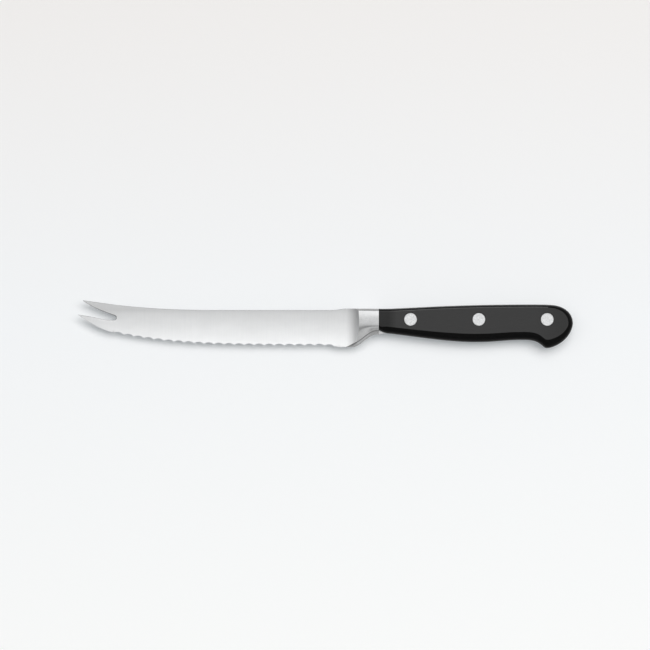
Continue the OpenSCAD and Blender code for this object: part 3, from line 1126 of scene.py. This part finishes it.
steels = {
    "satin": satin_steel(),
    "ground": ground_steel(),
    "polished": polished_steel("polished_steel", 0.505),
    "brushed": brushed_steel(),
    # Coarse steel on the cut outline and the arris, painted darker as shade
    "cut": cut_and_shaded_steel(),
    # A slightly darker copy of the bolster's steel on its underside, painted shade
    "underside": polished_steel("shaded_underside_steel", 0.48),
}
plastics = {
    "ground": ground_plastic("ground_plastic", 0.03),
    # A darker copy of the plastic on the roundings, painted shade
    "polished": polished_and_shaded_plastic(),
    # A lighter copy of the flats' plastic, a painted highlight along the back's edge
    "painted_highlight": ground_plastic("painted_highlight_plastic", 0.09),
}
rivet_material = rivet_steel()

forged_blade(steels)
scale("left_handle_scale", "left_scale", 1, plastics)
scale("right_handle_scale", "right_scale", -1, plastics)
for place, x in zip(("front", "middle", "rear"), RIVET_X):
    rivet(place, x, rivet_material)


# Floor, light and camera


PIXELS = 650
PIXEL = 0.498 * MM
PICTURE_CENTRE = (-0.107 * MM, -0.39 * MM)
PICTURE_HEIGHT = 8 * MM
CAMERA_DISTANCE = 2.4
# Half of the picture's height, in millimetres
PICTURE_REACH = 162
FLOOR_SIZE = 6.0
# What the camera sees the floor glow with, from the bottom of the picture to its top
FLOOR_GLOW = (
    (0, (0.28, 0.29, 0.286)),
    (0.5, (0.21, 0.228, 0.24)),
    (1, (0.16, 0.145, 0.132)),
)
# What matt surfaces and the camera see of the room
ROOM_DIM = 0.2
ROOM_WHITE = 0.9
# What the steel sees of it, as shares of its brightest part: along Y, from the bottom of the
# picture to the light beyond its top, and along X, from the fork's side to the butt's
ROOM_BRIGHTNESS = 2.0
ROOM_DEPTH = (
    (-1, 0.3),
    (-0.95, 0.34),
    (-0.87, 0.46),
    (-0.76, 0.48),
    (-0.62, 0.46),
    (-0.54, 0.24),
    (-0.46, 0.2),
    (-0.36, 0.3),
    (-0.25, 0.42),
    (-0.12, 0.52),
    (-0.03, 0.6),
    (0.03, 0.6),
    (0.085, 0.48),
    (0.11, 0.6),
    (0.15, 0.93),
    (0.28, 0.97),
    (0.4, 0.65),
    (0.55, 0.33),
    (1, 0.28),
)
ROOM_WIDTH = ((-1, 0.44), (-0.78, 0.7), (-0.28, 0.9), (0, 1), (1, 0.9))


def floor():
    half = FLOOR_SIZE / 2
    corners = [(-half, -half, 0), (half, -half, 0), (half, half, 0), (-half, half, 0)]
    data = bpy.data.meshes.new("floor")
    data.from_pydata(corners, [], [range(len(corners))])
    paper = Finish("floor_paper", grey(0.74), 0, 0.9)
    paper.shader.inputs["Specular IOR Level"].default_value = 0
    away = paper.along("Y", -PICTURE_REACH, PICTURE_REACH)
    glow = colour_ramp(paper.tree, away, FLOOR_GLOW)
    paper.link(glow, paper.shader.inputs["Emission Color"])
    path = paper.nodes.new("ShaderNodeLightPath")
    paper.link(path.outputs["Is Camera Ray"], paper.shader.inputs["Emission Strength"])
    data.materials.append(paper.material)
    piece = bpy.data.objects.new("floor", data)
    bpy.context.scene.collection.objects.link(piece)


def panel(name, position, target, width, height, brightness):
    """A soft light: a rectangle, in metres, that faces target. Brightness 1 is white."""
    data = bpy.data.lights.new(name, "AREA")
    data.shape = "RECTANGLE"
    data.size = width
    data.size_y = height
    data.energy = brightness * pi * width * height
    light = bpy.data.objects.new(name, data)
    bpy.context.scene.collection.objects.link(light)
    light.location = position
    light.rotation_mode = "QUATERNION"
    light.rotation_quaternion = (Vector(target) - Vector(position)).to_track_quat("-Z", "Y")
    light.visible_camera = False
    light.visible_glossy = False


def surroundings():
    """The room: dim for matt surfaces, white for the camera, and for glossy surfaces with
    the bright and dark parts of a studio."""
    world = bpy.data.worlds.new("studio")
    bpy.context.scene.world = world
    world.use_nodes = True
    tree = world.node_tree
    path = tree.nodes.new("ShaderNodeLightPath")

    def glow(colour, strength=1):
        node = tree.nodes.new("ShaderNodeBackground")
        node.inputs["Color"].default_value = (*colour, 1)
        node.inputs["Strength"].default_value = strength
        return node

    def choose(ray, otherwise, shader):
        node = tree.nodes.new("ShaderNodeMixShader")
        tree.links.new(path.outputs[ray], node.inputs["Fac"])
        tree.links.new(otherwise, node.inputs[1])
        tree.links.new(shader, node.inputs[2])
        return node.outputs["Shader"]

    def room_ramp(axis, stops):
        share = map_range(tree, direction.outputs[axis], 0, 1, -1, 1)
        levels = [((place + 1) / 2, grey(level)) for place, level in stops]
        return colour_ramp(tree, share, levels)

    direction = tree.nodes.new("ShaderNodeSeparateXYZ")
    around = tree.nodes.new("ShaderNodeTexCoord")
    tree.links.new(around.outputs["Generated"], direction.inputs["Vector"])
    mirrored_room = glow(grey(1), ROOM_BRIGHTNESS)
    pattern = product(tree, room_ramp("Y", ROOM_DEPTH), room_ramp("X", ROOM_WIDTH))
    tree.links.new(pattern, mirrored_room.inputs["Color"])

    dim = glow(grey(ROOM_DIM)).outputs["Background"]
    white = glow(grey(ROOM_WHITE)).outputs["Background"]
    world_shader = choose("Is Camera Ray", dim, white)
    world_shader = choose("Is Glossy Ray", world_shader, mirrored_room.outputs["Background"])
    tree.links.new(world_shader, tree.nodes["World Output"].inputs["Surface"])


def camera():
    data = bpy.data.cameras.new("camera")
    data.sensor_width = 36
    data.lens = data.sensor_width * CAMERA_DISTANCE / (PIXELS * PIXEL)
    data.clip_start = 0.1
    data.clip_end = 20
    made = bpy.data.objects.new("camera", data)
    bpy.context.scene.collection.objects.link(made)
    made.location = (*PICTURE_CENTRE, PICTURE_HEIGHT + CAMERA_DISTANCE)
    bpy.context.scene.camera = made


floor()
surroundings()
panel("ceiling", (0, 0.575, 2.4), (0, 0.575, 0), width=4.4, height=1.25, brightness=1.3)
panel("key", (0.9, 1.2, 3.5), (0, 0, 0), width=3.0, height=1.9, brightness=4.85)
camera()
bpy.context.scene.view_settings.view_transform = "Standard"
